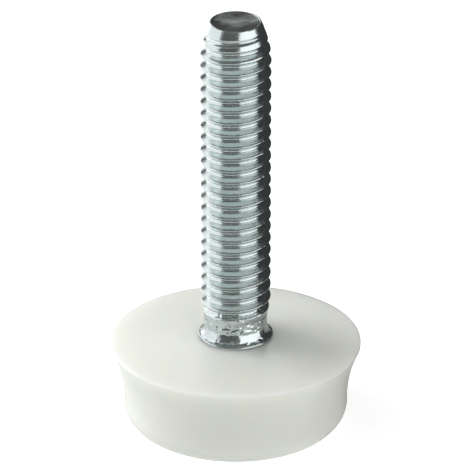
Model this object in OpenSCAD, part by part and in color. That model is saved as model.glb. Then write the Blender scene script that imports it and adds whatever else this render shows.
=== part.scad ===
// Threaded stud leveling foot for furniture.
//
// A thread-rolled steel stud is anchored in a round nylon base. The stud screws into a
// threaded insert in a furniture leg, and the flat underside of the base rests on the floor.
// Turning the flared rim of the base by hand raises or lowers the furniture.
//
// The origin is at the centre of the underside, and +Z points up the stud's axis.

/* [Base] */
// Diameter over the rim of the base
base_d = 28; // [24:0.5:40]
// Height of the rim above the floor
base_h = 9.95; // [9:0.05:12]
// Diameter of the base at its waist
waist_d = 25.15; // [20:0.05:26]
// Height of the waist above the floor
waist_z = 3; // [2.8:0.1:4]
// Radius between the underside and the side
bottom_round = 2.6; // [1:0.1:2.8]
// Thickness of the rim's edge
rim_edge = 0.35; // [0.2:0.05:0.6]
// Rise of the top face from the rim to the stud
top_rise = 0.6; // [0.2:0.1:1]

/* [Stud] */
// Thread major diameter, 5/16 in less its running allowance and tolerance
major_d = 7.8; // [7.7:0.01:7.93]
// Threads per inch
threads_per_inch = 18; // [16:1:24]
// Length of the stud above the rim of the base
stud_l = 38.3; // [25:0.1:60]
// Diameter of the stud's end
tip_d = 5.5; // [5:0.1:6]
// Length of the rounded lead-in at the stud's end
lead_in = 4.2; // [2.5:0.1:5]
// Width of the ring around the cup in the stud's end
tip_ring = 0.15; // [0.15:0.05:0.5]
// Depth of the cup in the stud's end
cup_depth = 0.45; // [0.3:0.05:1]
// Depth below the stud's end of the first thread root on the -X side
first_root = 1.74; // [1.5:0.01:3]

/* [Collar] */
// Diameter of the collar that closes the mould on the stud
collar_d = 8.4; // [8.2:0.1:9]
// Thickness of the collar's edge
collar_edge = 0.3; // [0.2:0.05:0.5]
// Height of the bell-shaped flare above the collar's edge
flare_h = 1.1; // [0.5:0.1:1.2]
// Length of the plain neck between the flare and the thread
neck_l = 1; // [0.3:0.1:1]

/* [Anchor] */
// Hexagon across flats of the head inside the base
head_af = 12.7; // [10:0.1:14]
// Thickness of the hexagon head
head_h = 4.4; // [3:0.1:5]
// Plastic left under the head
floor_t = 2.4; // [2:0.1:3]

/* [Hidden] */

// A small overlap that lets solids join or cut through cleanly.
eps = 0.01;

// The thread has the unified 60 degree form, with a flat crest and a flat root.
pitch = 25.4 / threads_per_inch;
sharp_h = pitch * sqrt(3) / 2;
thread_depth = 0.625 * sharp_h;
major_r = major_d / 2;
root_r = major_r - thread_depth;
pitch_r = major_r - 0.325 * sharp_h;
crest_half = pitch / 12;
root_half = pitch / 10;

// Heights up the axis.
rim_z = base_h;
collar_z = base_h + top_rise;
neck_z = collar_z + collar_edge + flare_h;
thread_z = neck_z + neck_l;
tip_z = base_h + stud_l;
thread_end_z = tip_z - lead_in;
head_z = floor_t;

// Radii.
base_r = base_d / 2;
waist_r = waist_d / 2;
collar_r = collar_d / 2;
neck_r = pitch_r;
tip_r = tip_d / 2;

// Powers of the curves: the flare is flat at the collar and steep at the neck, and the lead-in
// is steepest at the stud's end.
flare_power = 2.6;
lead_in_power = 1.6;

// The thread sweep: stations in one turn, turns over which the thread runs out, and the height
// over which the neck swells to the major diameter.
stations = 18;
run_out_turns = 1.5;
swell_l = 2.3;
sweep_z = tip_z - first_root - pitch * round((tip_z - first_root - thread_z) / pitch + 1.5);
sweep_turns = ceil((tip_z - sweep_z) / pitch) + 1;

// The sweep's crest is a chain of straight facets. They stand proud at their corners, and the true
// cylinder of the blank trims them, except for this angle either side of each facet's middle.
untrimmed_angle = 3.5;
proud = cos(untrimmed_angle) / cos(180 / stations);

// An arc of steps + 1 points about a centre, from one angle to another.
function arc(centre, r, from, to, steps = 12) =
    [for (i = [0 : steps]) centre + r * [cos(from + (to - from) * i / steps),
                                          sin(from + (to - from) * i / steps)]];

// The side of the base is one concave arc, upright at the waist and leaning out at the rim.
side_rise = rim_z - rim_edge - waist_z;
side_out = base_r - waist_r;
side_r = (side_rise * side_rise + side_out * side_out) / (2 * side_out);
side_angle = asin(side_rise / side_r);

// The top face of the base is one shallow dome from the rim to the collar.
dome_run = base_r - collar_r;
dome_r = (dome_run * dome_run + top_rise * top_rise) / (2 * top_rise);
dome_angle = asin(dome_run / dome_r);

// Half outline of the base, from the centre of the underside round to the centre of the top.
function base_outline() = concat(
    [[0, 0]],
    arc([waist_r - bottom_round, bottom_round], bottom_round, -90, 0),
    arc([waist_r + side_r, waist_z], side_r, 180, 180 - side_angle, 16),
    arc([collar_r, collar_z - dome_r], dome_r, 90 - dome_angle, 90, 16),
    [[0, collar_z]]
);

// The bell-shaped flare is hollow outwards.
function flare_outline(steps = 10) =
    [for (i = [0 : steps]) [collar_r - (collar_r - neck_r) * i / steps,
                             neck_z - flare_h * (1 - pow(i / steps, flare_power))]];

// The lead-in starts as a cone at the tip and rounds into the major diameter.
function lead_in_outline(steps = 10) =
    [for (i = [0 : steps]) [major_r - (major_r - tip_r) * pow(i / steps, lead_in_power),
                             thread_end_z + lead_in * i / steps]];

// Half outline of the threaded length, before the thread is cut and the end is cupped.
function blank_outline() = concat(
    [[0, thread_z], [neck_r, thread_z], [major_r, thread_z + swell_l]],
    lead_in_outline(),
    [[0, tip_z]]
);

// Depth of the thread after some turns: it runs out where the dies stop short of the collar.
function depth_at(turn) = min(1, max(0, (turn - 1) / run_out_turns));

// One pitch of the thread as [radius, height] points: crest, flank, root and flank again.
function thread_form(deep) =
    let (crest = major_r * proud, root = crest - (crest - root_r) * deep)
    [[crest, -crest_half],
     [crest, crest_half],
     [root, pitch / 2 - root_half],
     [root, pitch / 2 + root_half]];

// A right-hand screw as one closed solid: the form is swept along the helix for whole turns.
module screw(turns) {
    form_n = len(thread_form(1));
    last = turns * stations;
    points = [for (s = [0 : last + stations])
        for (p = thread_form(depth_at(s / stations)))
            let (a = 360 * s / stations)
            [p[0] * cos(a), p[0] * sin(a), p[1] + pitch * s / stations]];
    low = len(points);
    high = low + 1;
    top_z = pitch * (turns + 1);
    centres = [[0, 0, 0], [0, 0, top_z]];
    function at(s, m) = m < form_n ? s * form_n + m : (s + stations) * form_n + m - form_n;
    side = [for (s = [0 : last - 1]) for (m = [0 : form_n - 1])
        each [[at(s, m), at(s + 1, m + 1), at(s + 1, m)],
              [at(s, m), at(s, m + 1), at(s + 1, m + 1)]]];
    low_cap = concat(
        [for (s = [0 : stations - 1]) [low, at(s, 0), at(s + 1, 0)]],
        [for (m = [0 : form_n - 1]) [low, at(0, m + 1), at(0, m)]]);
    high_cap = concat(
        [for (s = [last : last + stations - 1]) [high, at(s + 1, 0), at(s, 0)]],
        [for (m = [0 : form_n - 1]) [high, at(last, m), at(last, m + 1)]]);
    polyhedron(points = concat(points, centres), faces = concat(side, low_cap, high_cap));
}

// The hexagon head and shank inside the base, up to the collar's seat.
module anchor() {
    translate([0, 0, head_z])
        cylinder(d = head_af / cos(30), h = head_h, $fn = 6);
    translate([0, 0, head_z + head_h - eps])
        cylinder(r = neck_r, h = collar_z - head_z - head_h + eps, $fn = 96);
}

// The collar, its flare and the plain neck.
module collar() {
    rotate_extrude($fn = 96)
        polygon(concat([[0, collar_z], [collar_r, collar_z]],
                       flare_outline(),
                       [[neck_r, thread_z], [0, thread_z]]));
}

module threaded_stud() {
    color("#b9c2c6") {
        difference() {
            intersection() {
                rotate_extrude($fn = 96) polygon(blank_outline());
                translate([0, 0, sweep_z]) screw(sweep_turns);
            }
            cup();
        }
        collar();
        anchor();
    }
}

// The cup that thread rolling leaves in the end of the stud.
module cup() {
    cup_r = tip_r - tip_ring;
    ball_r = (cup_r * cup_r + cup_depth * cup_depth) / (2 * cup_depth);
    translate([0, 0, tip_z + ball_r - cup_depth])
        sphere(r = ball_r, $fn = 96);
}

module nylon_base() {
    color("#dfe2d9")
        difference() {
            rotate_extrude($fn = 128) polygon(base_outline());
            anchor();
        }
}

nylon_base();
threaded_stud();
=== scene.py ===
"""A threaded-stud leveling foot for furniture, on a pale floor in soft studio light.

The CAD frame gives every place and overall size. Two detailed meshes stand for its two nodes: a
thread-rolled, zinc-plated steel stud and a moulded nylon base. Lengths are in metres.
"""
import math

import bpy
import numpy as np
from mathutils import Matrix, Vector, noise


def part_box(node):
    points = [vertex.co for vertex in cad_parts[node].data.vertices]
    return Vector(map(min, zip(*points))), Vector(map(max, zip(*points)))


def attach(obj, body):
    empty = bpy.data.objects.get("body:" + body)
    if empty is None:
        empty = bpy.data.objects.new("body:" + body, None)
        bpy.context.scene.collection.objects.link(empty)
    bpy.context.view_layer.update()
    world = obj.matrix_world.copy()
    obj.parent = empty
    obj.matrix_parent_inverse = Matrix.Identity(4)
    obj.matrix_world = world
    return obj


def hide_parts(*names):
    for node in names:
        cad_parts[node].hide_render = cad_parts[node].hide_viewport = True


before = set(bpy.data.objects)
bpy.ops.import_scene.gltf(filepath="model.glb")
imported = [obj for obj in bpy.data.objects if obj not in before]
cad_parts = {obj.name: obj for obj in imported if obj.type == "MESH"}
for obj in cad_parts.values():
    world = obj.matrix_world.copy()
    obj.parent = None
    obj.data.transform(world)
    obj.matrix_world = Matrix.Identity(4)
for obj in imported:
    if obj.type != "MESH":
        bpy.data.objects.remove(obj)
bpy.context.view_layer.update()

MM = 0.001
TURN = 2 * math.pi

# ---------------------------------------------------------------------------------------------
# Places and sizes, from the frame
# ---------------------------------------------------------------------------------------------
base_lo, base_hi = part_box("nylon_base")
stud_lo, stud_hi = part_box("threaded_stud")

base_r = base_hi[0]
crown_z = base_hi[2]              # centre of the base's top face, where the collar sits
tip_z = stud_hi[2]                # the stud's free end
head_z = stud_lo[2]               # underside of the hidden head

# The base
RIM_DROP = 0.6 * MM               # the top face falls this much from the collar to the rim
RIM_EDGE = 0.35 * MM
RIM_ROUND = 0.12 * MM
WAIST_R = 12.575 * MM
WAIST_Z = 3.0 * MM
BOTTOM_ROUND = 2.6 * MM
rim_z = crown_z - RIM_DROP

# The thread: 5/16-18 UNC, right-hand
PITCH = 25.4 * MM / 18
MAJOR_R = 3.9 * MM
CREST_ROUND = 0.10 * MM
ROOT_ROUND = 0.33 * MM
FIRST_ROOT = 1.74 * MM            # first root below the tip, on the -X side
FLANK = math.sqrt(3)              # a 60 degree thread's radius falls this much along its flank
root_r = MAJOR_R - (FLANK * PITCH / 2 - CREST_ROUND - ROOT_ROUND)

# The stud's plain parts
NECK_R = 3.503 * MM
COLLAR_R = 4.2 * MM
COLLAR_EDGE = 0.3 * MM
FLARE_H = 1.1 * MM
NECK_WAIST = 0.07 * MM            # the foot of the neck is undercut by this much
NECK_WAIST_H = 0.3 * MM
FLARE_POWER = 2.6                 # the flare is flat at the collar and steep at the neck
NECK_L = 1.0 * MM
SWELL_L = 2.3 * MM                # the neck swells to the major diameter over this length
RUN_OUT_TURNS = 1.5
RUN_OUT_DEPTH = 0.50              # share of the thread's depth that is left at the collar
LEAD_IN = 4.2 * MM
LEAD_IN_POWER = 1.6               # the lead-in is steepest at the stud's end
TIP_R = 2.75 * MM
TIP_RING = 0.10 * MM
TIP_ROUND = 0.05 * MM
CUP_DEPTH = 0.45 * MM
TIP_DROOP = 0.23 * MM             # the end was sheared this much low on the -Y side
HEAD_FLAT = 6.35 * MM             # half the hexagon's width across flats
HEAD_H = 4.4 * MM
HEAD_EDGE = 0.25 * MM
SHANK_FILLET = 0.1 * MM
neck_z = crown_z + COLLAR_EDGE + FLARE_H
thread_z = neck_z + NECK_L


# ---------------------------------------------------------------------------------------------
# Mesh tools
# ---------------------------------------------------------------------------------------------
def ramp(x, low, high):
    """0 below low, 1 above high, and a smooth rise between them."""
    t = np.clip((x - low) / (high - low), 0, 1)
    return t * t * (3 - 2 * t)


def soft_min(a, b, radius):
    """The lower of a and b, with the corner where they cross rounded off."""
    h = np.clip(0.5 + (b - a) / (2 * radius), 0, 1)
    return b + (a - b) * h - radius * h * (1 - h)


def fine_noise(angle, z, around, along, seed):
    """Smooth noise on a cylinder, from -1 to 1, that meets itself after a turn."""
    place = Vector((math.cos(angle) * around, math.sin(angle) * around + seed, z * along))
    return noise.noise(place)


def make_mesh(name, points, faces, body="root"):
    """A smooth-shaded object that rides on a CAD body."""
    mesh = bpy.data.meshes.new(name)
    mesh.from_pydata([tuple(p) for p in points], [], faces)
    mesh.validate()
    mesh.polygons.foreach_set("use_smooth", [True] * len(mesh.polygons))
    mesh.update()
    piece = bpy.data.objects.new(name, mesh)
    bpy.context.scene.collection.objects.link(piece)
    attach(piece, body)
    return piece


def lathe(rows, columns):
    """Points and faces of a closed solid. rows gives, bottom to top, a function of the column's
    angle to (radius, z). The first and last rows shrink to one point on the axis."""
    points = [(0.0, 0.0, rows[0](0.0)[1])]
    for row in rows[1:-1]:
        for c in range(columns):
            angle = TURN * c / columns
            radius, z = row(angle)
            points.append((radius * math.cos(angle), radius * math.sin(angle), z))
    points.append((0.0, 0.0, rows[-1](0.0)[1]))
    last = len(points) - 1
    rings = len(rows) - 2
    faces = []
    for c in range(columns):
        d = (c + 1) % columns
        faces.append((0, 1 + d, 1 + c))
        for ring in range(rings - 1):
            low, high = 1 + ring * columns, 1 + (ring + 1) * columns
            faces.append((low + c, low + d, high + d, high + c))
        top = 1 + (rings - 1) * columns
        faces.append((top + c, top + d, last))
    return points, faces


# ---------------------------------------------------------------------------------------------
# The stud
# ---------------------------------------------------------------------------------------------
def envelope(z):
    """Radius of the stud's blank at height z: swelling neck, full diameter, rounded lead-in."""
    swell = NECK_R + (MAJOR_R - NECK_R) * np.clip((z - thread_z) / SWELL_L, 0, 1)
    along = np.clip((z - (tip_z - LEAD_IN)) / LEAD_IN, 0, 1)
    lead = MAJOR_R - (MAJOR_R - TIP_R) * along ** LEAD_IN_POWER
    return np.minimum(swell, lead)


def thread_radius(phase):
    """Radius of the full thread at a distance phase, in pitches, from the middle of a crest."""
    s = np.abs(phase - np.round(phase)) * PITCH
    crest_end = CREST_ROUND * FLANK / 2
    root_start = PITCH / 2 - ROOT_ROUND * FLANK / 2
    to_root = np.minimum(PITCH / 2 - s, ROOT_ROUND)
    crest = MAJOR_R - CREST_ROUND + np.sqrt(np.maximum(CREST_ROUND ** 2 - s ** 2, 0))
    root = root_r + ROOT_ROUND - np.sqrt(np.maximum(ROOT_ROUND ** 2 - to_root ** 2, 0))
    flank = MAJOR_R + CREST_ROUND - FLANK * s
    return np.where(s < crest_end, crest, np.where(s > root_start, root, flank))


# Small dents. Each layer gives the noise's detail around and along the stud, its seed, the level over
# which it bites, and its depth in millimetres for each unit over that level.
CREST_NICKS = [(7, 0.9, 31.0, 0.22, 0.09), (19, 2.3, 37.0, 0.18, 0.06)]
GRIP_DENTS = [(8, 2.4, 4.0, 0.0, 0.12), (17, 4.5, 6.0, 0.0, 0.14)]
CREST_BAND = 0.25 * MM            # nicks reach this far down from the crests
GRIP_FULL = thread_z + 0.6 * MM   # the grip's dents fade out between these heights
GRIP_END = thread_z + 2.2 * MM
CREST_CORNER = 0.02 * MM


def dent(angle, z, layers):
    """Depth of the dents of some layers at an angle and a height."""
    return MM * sum(max(0.0, fine_noise(angle, z / MM, around_detail, along_detail, seed) - level) * depth
                    for around_detail, along_detail, seed, level, depth in layers)


def grip_dent(angle, z):
    """Depth of the dents where the dies grip the neck, which fade out up the first turns."""
    return dent(angle, z, GRIP_DENTS) * float(1 - ramp(z, GRIP_FULL, GRIP_END))


def stud_radius(angle, z):
    """Radius of the threaded length at an angle and at an array of heights."""
    phase = (z - (tip_z - FIRST_ROOT)) / PITCH - angle / TURN
    depth = MAJOR_R - thread_radius(phase)
    deep = RUN_OUT_DEPTH + (1 - RUN_OUT_DEPTH) * ramp(z, thread_z, thread_z + RUN_OUT_TURNS * PITCH)
    near_crest = np.clip(1 - depth / CREST_BAND, 0, 1)
    nicks = np.array([dent(angle, h, CREST_NICKS) for h in z])
    dents = np.array([grip_dent(angle, h) for h in z])
    return soft_min(envelope(z), MAJOR_R - depth * deep - nicks * near_crest, CREST_CORNER) - dents


def tip_height(angle):
    """Height of the stud's end, which was sheared off a little low on the -Y side."""
    return tip_z - TIP_DROOP / 2 * (1 - math.sin(angle))


def thread_grid(columns, rows_a_pitch):
    """Points of the threaded length on a grid whose rows follow the helix, flat at both ends.

    Row k of column c lies k steps up the helix, so a seam joins the last column to the first one
    pitch higher. Rows past either end are pressed flat onto it."""
    low_z, high_z = thread_z, tip_z
    start = low_z - 1.01 * PITCH
    count = int(math.ceil((high_z - start) / PITCH)) * rows_a_pitch + 1
    # rows crowd towards the crest's and the root's rounded corners
    step = np.arange(rows_a_pitch) / rows_a_pitch
    offset = step - 0.045 * np.sin(2 * TURN * step) / 2
    first = (start - (tip_z - FIRST_ROOT)) / PITCH
    base_phase = math.floor(first)
    k = np.arange(count + rows_a_pitch)
    phase = base_phase + k // rows_a_pitch + offset[k % rows_a_pitch]
    grid = []
    for c in range(columns):
        angle = TURN * c / columns
        z = (tip_z - FIRST_ROOT) + PITCH * (phase + angle / TURN)
        z = np.clip(z, low_z, tip_height(angle))
        grid.append(np.stack([stud_radius(angle, z), z], axis=1))
    return np.array(grid)


COLUMNS = 168
ROWS_A_PITCH = 20
BASE_COLUMNS = 256


def build_stud():
    """One closed mesh: hexagon head, shank, collar, flare, neck, thread, lead-in, ring and cup."""
    points, index = [], {}

    def point(angle_step, radius, z):
        key = (angle_step % COLUMNS, round(radius * 1e8), round(z * 1e8))
        if key not in index:
            angle = TURN * (angle_step % COLUMNS) / COLUMNS
            index[key] = len(points)
            points.append((radius * math.cos(angle), radius * math.sin(angle), z))
        return index[key]

    faces = []

    def quad(*corners):
        ring = [p for i, p in enumerate(corners) if p != corners[i - 1]]
        if len(set(ring)) >= 3:
            faces.append(tuple(ring))

    def hexagon(angle):
        return HEAD_FLAT / math.cos((angle + TURN / 12) % (TURN / 6) - TURN / 12)

    def flare_row(t):
        """The bell-shaped flare, marked by the dies that close on it."""
        def row(angle):
            radius = COLLAR_R - (COLLAR_R - NECK_R + NECK_WAIST) * t
            fade = math.sin(math.pi * min(1, 0.15 + t * 0.85))
            coarse = fine_noise(angle, t, 9, 3.0, 5.0) * 0.07
            fine = fine_noise(angle, t, 24, 6.0, 9.0) * 0.08
            lift = fine_noise(angle, t, 18, 5.0, 12.0) * 0.05 * (1 - t)
            z = neck_z - FLARE_H * (1 - t ** FLARE_POWER) + lift * fade * MM
            return radius + (coarse + fine) * fade * MM, z
        return row

    def collar_row(t):
        """The collar's rounded edge, slightly uneven all round."""
        def row(angle):
            uneven = 0.03 * fine_noise(angle, 0, 1.5, 1, 2.0) + 0.02 * fine_noise(angle, 0, 8, 1, 3.0)
            half = COLLAR_EDGE / 2
            radius = COLLAR_R - 0.11 * MM * (1 - math.sin(t * math.pi))
            z = crown_z + half - half * math.cos(t * math.pi)
            return radius + (uneven - 0.03) * MM, z
        return row

    lower = [
        lambda a: (0, head_z),
        lambda a: (hexagon(a) - HEAD_EDGE, head_z),
        lambda a: (hexagon(a), head_z + HEAD_EDGE),
        lambda a: (hexagon(a), head_z + HEAD_H - HEAD_EDGE),
        lambda a: (hexagon(a) - HEAD_EDGE, head_z + HEAD_H),
        lambda a: (NECK_R + SHANK_FILLET, head_z + HEAD_H),
        lambda a: (NECK_R, head_z + HEAD_H + SHANK_FILLET),
        lambda a: (NECK_R, crown_z),
    ]
    lower += [collar_row(t) for t in np.linspace(0, 1, 9)]
    lower += [flare_row(t) for t in np.linspace(0.12, 1, 16)]

    def neck_row(z):
        """The plain neck, undercut at its foot and dented where the dies grip it."""
        def row(angle):
            foot = float(1 - ramp(z, neck_z, neck_z + NECK_WAIST_H))
            return NECK_R - NECK_WAIST * foot - grip_dent(angle, z), z
        return row

    lower += [neck_row(z) for z in np.linspace(neck_z, thread_z, 14)[1:-1]]

    def tip_row(t):
        """The narrow rounded ring round the cup."""
        def row(angle):
            nick = 0.02 * fine_noise(angle, 0, 5, 1, 7.0)
            radius = TIP_R - TIP_RING * t
            z = tip_height(angle) - TIP_ROUND * (2 * t - 1) ** 2 - max(0, nick) * MM
            return radius, z
        return row

    upper = [tip_row(t) for t in np.linspace(0.12, 1, 7)]
    cup_r = TIP_R - TIP_RING

    def cup_row(t):
        """The shallow cup, puckered where the end was sheared and rolled over."""
        def row(angle):
            out = 1 - t
            coarse = fine_noise(angle, t, 1.6 * out, 3.0, 13.0) * 0.07
            fine = fine_noise(angle, t, 6 * out, 5.0, 17.0) * 0.03
            end_z = tip_z - TIP_DROOP / 2 * (1 - out * math.sin(angle))
            sunk = TIP_ROUND + CUP_DEPTH * (1 - out ** 2)
            return cup_r * out, end_z - sunk + min(t, 0.3) * (coarse + fine) * MM
        return row

    upper += [cup_row(t) for t in np.linspace(0, 1, 22)[1:]]

    # plain rings below the thread
    grid = thread_grid(COLUMNS, ROWS_A_PITCH)
    rings = []
    for row in lower[1:]:
        rings.append([point(c, *row(TURN * c / COLUMNS)) for c in range(COLUMNS)])
    centre = len(points)
    points.append((0, 0, lower[0](0)[1]))
    for c in range(COLUMNS):
        quad(centre, rings[0][(c + 1) % COLUMNS], rings[0][c])
    helix = [[point(c, *grid[c][k]) for k in range(grid.shape[1])] for c in range(COLUMNS)]
    rings.append([helix[c][0] for c in range(COLUMNS)])
    for low, high in zip(rings, rings[1:]):
        for c in range(COLUMNS):
            d = (c + 1) % COLUMNS
            quad(low[c], low[d], high[d], high[c])

    # the threaded length
    top = grid.shape[1] - 1
    for c in range(COLUMNS):
        seam = c == COLUMNS - 1
        d = 0 if seam else c + 1
        shift = ROWS_A_PITCH if seam else 0
        for k in range(top):
            quad(helix[c][k], helix[d][min(k + shift, top)],
                 helix[d][min(k + 1 + shift, top)], helix[c][k + 1])

    # the ring and the cup
    rings = [[helix[c][top] for c in range(COLUMNS)]]
    for row in upper[:-1]:
        rings.append([point(c, *row(TURN * c / COLUMNS)) for c in range(COLUMNS)])
    for low, high in zip(rings, rings[1:]):
        for c in range(COLUMNS):
            d = (c + 1) % COLUMNS
            quad(low[c], low[d], high[d], high[c])
    centre = len(points)
    points.append((0, 0, upper[-1](0)[1]))
    for c in range(COLUMNS):
        quad(rings[-1][c], rings[-1][(c + 1) % COLUMNS], centre)
    return points, faces


# ---------------------------------------------------------------------------------------------
# The base
# ---------------------------------------------------------------------------------------------
def arc(centre, radius, start, end, steps):
    """Points of an arc in the half plane, angles in degrees."""
    return [(centre[0] + radius * math.cos(math.radians(start + (end - start) * i / steps)),
             centre[1] + radius * math.sin(math.radians(start + (end - start) * i / steps)))
            for i in range(steps + 1)]


def build_base():
    """One closed mesh: flat underside, rounded lower edge, flared side, thin rim and domed top."""
    rise = rim_z - RIM_EDGE - WAIST_Z
    out = base_r - WAIST_R
    side_r = (rise ** 2 + out ** 2) / (2 * out)
    side_angle = math.degrees(math.asin(rise / side_r))
    outline = [(0, 0)]
    outline += [(radius, 0) for radius in np.linspace(0, WAIST_R - BOTTOM_ROUND, 14)[1:-1]]
    outline += arc((WAIST_R - BOTTOM_ROUND, BOTTOM_ROUND), BOTTOM_ROUND, -90, 0, 18)
    outline += arc((WAIST_R + side_r, WAIST_Z), side_r, 180, 180 - side_angle, 40)
    outline += arc((base_r - RIM_ROUND, rim_z - RIM_ROUND), RIM_ROUND, 0, 80, 6)
    for t in np.linspace(0, 1, 46)[1:]:
        radius = (base_r - 2 * RIM_ROUND) * (1 - t) + COLLAR_R * t
        fall = (radius - COLLAR_R) / (base_r - COLLAR_R)
        outline.append((radius, crown_z - RIM_DROP * fall ** 2))
    outline += [(radius, crown_z) for radius in np.linspace(COLLAR_R, 0, 10)[1:]]

    def row(radius, z):
        def at(angle):
            near_rim = float(ramp(z, rim_z - 0.5 * MM, rim_z - 0.1 * MM)
                             * ramp(radius, base_r - 0.5 * MM, base_r))
            nick = max(0, fine_noise(angle, 0, 34, 1, 11.0) - 0.2) * 0.14
            wave = 0.02 * fine_noise(angle, z / MM, 1.3, 0.2, 1.0) - 0.02
            return radius - (nick * near_rim) * MM + wave * MM * (radius > 5 * MM), z
        return at

    return lathe([row(*p) for p in outline], BASE_COLUMNS)


# ---------------------------------------------------------------------------------------------
# Materials
# ---------------------------------------------------------------------------------------------
class Nodes:
    """A short hand for building a node material."""

    def __init__(self, name):
        self.material = bpy.data.materials.new(name)
        self.material.use_nodes = True
        self.tree = self.material.node_tree
        self.shader = self.tree.nodes["Principled BSDF"]
        self.place = self.add("ShaderNodeTexCoord").outputs["Object"]

    def add(self, kind, inputs=None, **settings):
        node = self.tree.nodes.new(kind)
        for key, value in settings.items():
            setattr(node, key, value)
        for key, value in (inputs or {}).items():
            if isinstance(value, bpy.types.NodeSocket):
                self.tree.links.new(value, node.inputs[key])
            else:
                node.inputs[key].default_value = value
        return node

    def noise(self, scale, detail=3.0, roughness=0.5, stretch=(1, 1, 1)):
        """Noise over the object, finest where scale, in waves a metre, is largest."""
        mapping = self.add("ShaderNodeMapping", {"Vector": self.place, "Scale": stretch})
        node = self.add("ShaderNodeTexNoise", {"Vector": mapping.outputs["Vector"], "Scale": scale,
                                               "Detail": detail, "Roughness": roughness})
        return node.outputs["Fac"]

    def ramp(self, value, *stops):
        """A colour ramp through (position, colour) stops."""
        node = self.add("ShaderNodeValToRGB", {"Fac": value})
        elements = node.color_ramp.elements
        while len(elements) < len(stops):
            elements.new(0.5)
        for element, (position, colour) in zip(elements, stops):
            element.position = position
            element.color = (*colour, 1)
        return node.outputs["Color"]

    def span(self, value, low, high, from_low=0.3, from_high=0.7):
        """value from one range to another."""
        node = self.add("ShaderNodeMapRange", {"Value": value, "From Min": from_low,
                                               "From Max": from_high, "To Min": low, "To Max": high})
        return node.outputs["Result"]

    def bump(self, height, distance, strength, below=None):
        inputs = {"Height": height, "Distance": distance, "Strength": strength}
        if below is not None:
            inputs["Normal"] = below
        return self.add("ShaderNodeBump", inputs).outputs["Normal"]

    def link(self, value, socket):
        self.tree.links.new(value, self.shader.inputs[socket])

    def set(self, **values):
        for key, value in values.items():
            self.shader.inputs[key.replace("_", " ")].default_value = value


def zinc_material():
    """Bright zinc plate over rolled steel: bluish, with soft patches, fine rolling marks and painted
    shade in the cup.
    """
    m = Nodes("zinc_plated_steel")
    m.set(Metallic=1.0)
    patches = m.noise(420, 4.0, 0.55)
    specks = m.noise(5200, 2.0, 0.6)
    tone = m.ramp(patches, (0.30, (0.60, 0.66, 0.665)), (0.55, (0.655, 0.715, 0.72)),
                  (0.8, (0.71, 0.755, 0.745)))
    # painted shade: the cup in the end is coloured dark, broken by paler streaks
    cup_r = TIP_R - TIP_RING
    reach = m.add("ShaderNodeVectorMath", {0: m.place, 1: (0, 0, tip_z)}, operation="DISTANCE")
    cup = m.span(reach.outputs["Value"], 1.0, 0.0, 0.96 * cup_r, cup_r)
    streaks = m.noise(1600, 4.0, 0.65, stretch=(0.4, 1, 1))
    # the dark colours of the painted shade in the cup, with paler streaks
    scale = m.ramp(streaks, (0.35, (0.30, 0.29, 0.27)), (0.6, (0.66, 0.71, 0.73)),
                   (0.75, (0.85, 0.85, 0.82)))
    mix = m.add("ShaderNodeMix", {"Factor": cup, 6: tone, 7: scale}, data_type="RGBA")
    m.link(mix.outputs[2], "Base Color")
    m.link(m.span(patches, 0.15, 0.23), "Roughness")
    marks = m.noise(900, 3.0, 0.6, stretch=(1, 1, 3.5))
    coarse = m.bump(marks, 0.00004, 0.35)
    m.link(m.bump(specks, 0.00001, 0.9, coarse), "Normal")
    return m.material


def nylon_material():
    """Milky natural nylon, moulded: light passes a few millimetres into it."""
    m = Nodes("natural_nylon")
    cloud = m.noise(120, 3.0, 0.5)
    tone = m.ramp(cloud, (0.3, (0.77, 0.78, 0.735)), (0.7, (0.80, 0.805, 0.765)))
    m.link(tone, "Base Color")
    m.set(Subsurface_Weight=1.0, Subsurface_Radius=(1.0, 0.95, 0.8), Subsurface_Scale=3 * MM,
          IOR=1.5, Roughness=0.24)
    ripple = m.bump(m.noise(260, 2.0, 0.5), 0.00006, 0.12)
    m.link(m.bump(m.noise(4200, 2.0, 0.6), 0.000006, 0.25, ripple), "Normal")
    return m.material


# ---------------------------------------------------------------------------------------------
# Pieces
# ---------------------------------------------------------------------------------------------
stud = make_mesh("rolled_stud", *build_stud())
stud.data.materials.append(zinc_material())
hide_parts("threaded_stud")

base = make_mesh("moulded_base", *build_base())
base.data.materials.append(nylon_material())
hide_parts("nylon_base")

# ---------------------------------------------------------------------------------------------
# Floor, studio and camera
# ---------------------------------------------------------------------------------------------
FLOOR_HALF = 2.0
floor_mesh = bpy.data.meshes.new("studio_floor")
corners = [(-FLOOR_HALF, -FLOOR_HALF, 0), (FLOOR_HALF, -FLOOR_HALF, 0),
           (FLOOR_HALF, FLOOR_HALF, 0), (-FLOOR_HALF, FLOOR_HALF, 0)]
floor_mesh.from_pydata(corners, [], [(0, 1, 2, 3)])
floor = bpy.data.objects.new("studio_floor", floor_mesh)
bpy.context.scene.collection.objects.link(floor)
floor.location.z = -0.02 * MM
# the steel and the nylon take the table's light from the room, which is as pale
floor.visible_glossy = False
floor.visible_diffuse = False
paper = Nodes("white_paper")
paper_tone = paper.ramp(paper.noise(30, 2.0), (0.3, (0.62, 0.62, 0.62)), (0.7, (0.64, 0.64, 0.64)))
paper.link(paper_tone, "Base Color")
paper.set(Roughness=0.9, Emission_Color=(1, 1, 1, 1), Emission_Strength=0.72)
floor_mesh.materials.append(paper.material)


# The room, as the sine of the elevation and a brightness: a white table, dim walls, a paler ceiling
# and a dark patch straight above.
ROOM = [(-1.0, 0.80), (-0.40, 0.95), (-0.28, 0.12), (0.40, 0.12), (0.55, 0.35), (0.70, 0.35),
        (0.85, 0.15)]
ROOM_TINT = (0.96, 1.0, 0.97)
# A dark screen stands at the right, a little behind the foot.
SCREEN_SIDE = Vector((0.83, 0.56, 0))
SCREEN_SHADE = 0.05
SCREEN_FADE = (0.55, 0.70)        # cosines off its middle between which it fades in


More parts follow.
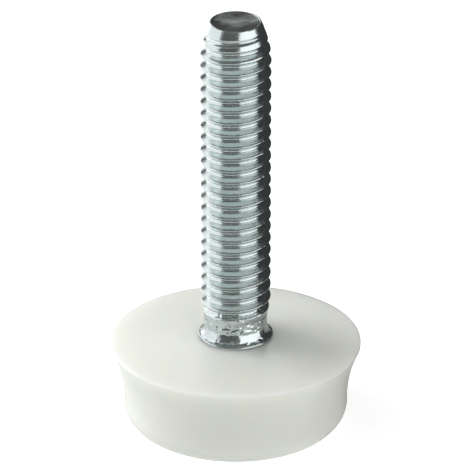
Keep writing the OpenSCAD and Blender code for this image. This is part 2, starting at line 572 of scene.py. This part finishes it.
def studio_world():
    """The dim room round the table, shaded by height, with the dark screen in it."""
    world = bpy.data.worlds.new("studio")
    bpy.context.scene.world = world
    world.use_nodes = True
    nodes, links = world.node_tree.nodes, world.node_tree.links
    split = nodes.new("ShaderNodeSeparateXYZ")
    direction = nodes.new("ShaderNodeTexCoord").outputs["Generated"]
    links.new(direction, split.inputs[0])
    height = nodes.new("ShaderNodeMapRange")
    height.inputs["From Min"].default_value = -1
    links.new(split.outputs["Z"], height.inputs["Value"])
    shade = nodes.new("ShaderNodeValToRGB")
    links.new(height.outputs["Result"], shade.inputs["Fac"])
    stops = shade.color_ramp.elements
    while len(stops) < len(ROOM):
        stops.new(0.5)
    for stop, (sine, brightness) in zip(stops, ROOM):
        stop.position = (sine + 1) / 2
        stop.color = (*(brightness * part for part in ROOM_TINT), 1)
    toward = nodes.new("ShaderNodeVectorMath")
    toward.operation = "DOT_PRODUCT"
    toward.inputs[0].default_value = SCREEN_SIDE
    links.new(direction, toward.inputs[1])
    screen = nodes.new("ShaderNodeMapRange")
    screen.interpolation_type = "SMOOTHSTEP"
    screen.inputs["From Min"].default_value = SCREEN_FADE[0]
    screen.inputs["From Max"].default_value = SCREEN_FADE[1]
    links.new(toward.outputs["Value"], screen.inputs["Value"])
    mix = nodes.new("ShaderNodeMix")
    mix.data_type = "RGBA"
    mix.inputs[7].default_value = (SCREEN_SHADE, SCREEN_SHADE, SCREEN_SHADE, 1)
    links.new(screen.outputs["Result"], mix.inputs["Factor"])
    links.new(shade.outputs["Color"], mix.inputs[6])
    links.new(mix.outputs[2], nodes["Background"].inputs["Color"])


def around(azimuth, distance, height):
    """A place round the foot, at degrees from the camera's side (-Y) towards +X."""
    turn = math.radians(azimuth)
    return Vector((distance * math.sin(turn), -distance * math.cos(turn), height))


def soft_box(name, place, aim, size, watts, mirrored=False):
    """A soft box of some width and height. Only a mirrored one is seen in the steel."""
    data = bpy.data.lights.new(name, "AREA")
    data.shape = "RECTANGLE"
    data.size, data.size_y = size
    data.energy = watts
    light = bpy.data.objects.new(name, data)
    bpy.context.scene.collection.objects.link(light)
    light.location = place
    light.rotation_euler = (Vector(aim) - Vector(place)).to_track_quat("-Z", "Y").to_euler()
    light.visible_glossy = mirrored
    light.visible_camera = False
    return light


# Three large boxes are seen in the steel: the window at the left, the key box at the right of the
# camera and a low strip behind. They stand upright round the foot.
BIG_BOXES = [("window", 253, 0.16, (1.26, 0.92), 3.7),
             ("key_box", 52, 0.12, (0.92, 0.52), 2.0),
             ("rear_strip", 200, -0.05, (0.6, 0.18), 0.35)]
BOX_DISTANCE = 0.6
for box_name, azimuth, middle_z, size, watts in BIG_BOXES:
    place = around(azimuth, BOX_DISTANCE, middle_z)
    soft_box(box_name, place, (0, 0, middle_z), size, watts, mirrored=True)

# The small boxes only light the nylon, and the rear one also gives it its sheen.
AIM = (0, 0, 0.01)
SMALL = (0.12, 0.12)
soft_box("overhead_box", (-0.12, 0.05, 0.45), AIM, (0.30, 0.30), 0.22)
soft_box("left_box", (-0.13, 0.044, 0.17), AIM, SMALL, 0.22)
soft_box("front_box", (-0.14, -0.10, 0.05), AIM, SMALL, 0.10)
soft_box("right_box", around(60, 0.20, 0.02), AIM, SMALL, 0.06)
rear_box = soft_box("rear_box", (0, 0.45, 0.225), AIM, (0.20, 0.20), 0.13, mirrored=True)
shine = bpy.data.collections.new("shine_on_nylon")
shine.objects.link(base)
rear_box.light_linking.receiver_collection = shine
studio_world()

CAMERA_ELEVATION = math.radians(24.84)
CAMERA_DISTANCE = 0.443
CAMERA_LENS = 308.2
CAMERA_AIM = Vector((-0.00019, 0, rim_z + 12.91 * MM))
camera_data = bpy.data.cameras.new("camera")
camera_data.lens = CAMERA_LENS
camera_data.sensor_width = 36
camera_data.clip_start = 0.01
camera = bpy.data.objects.new("camera", camera_data)
bpy.context.scene.collection.objects.link(camera)
camera_side = Vector((0, -math.cos(CAMERA_ELEVATION), math.sin(CAMERA_ELEVATION)))
camera.location = CAMERA_AIM + CAMERA_DISTANCE * camera_side
camera.rotation_euler = (math.pi / 2 - CAMERA_ELEVATION, 0, 0)
bpy.context.scene.camera = camera
bpy.context.scene.view_settings.view_transform = "Standard"
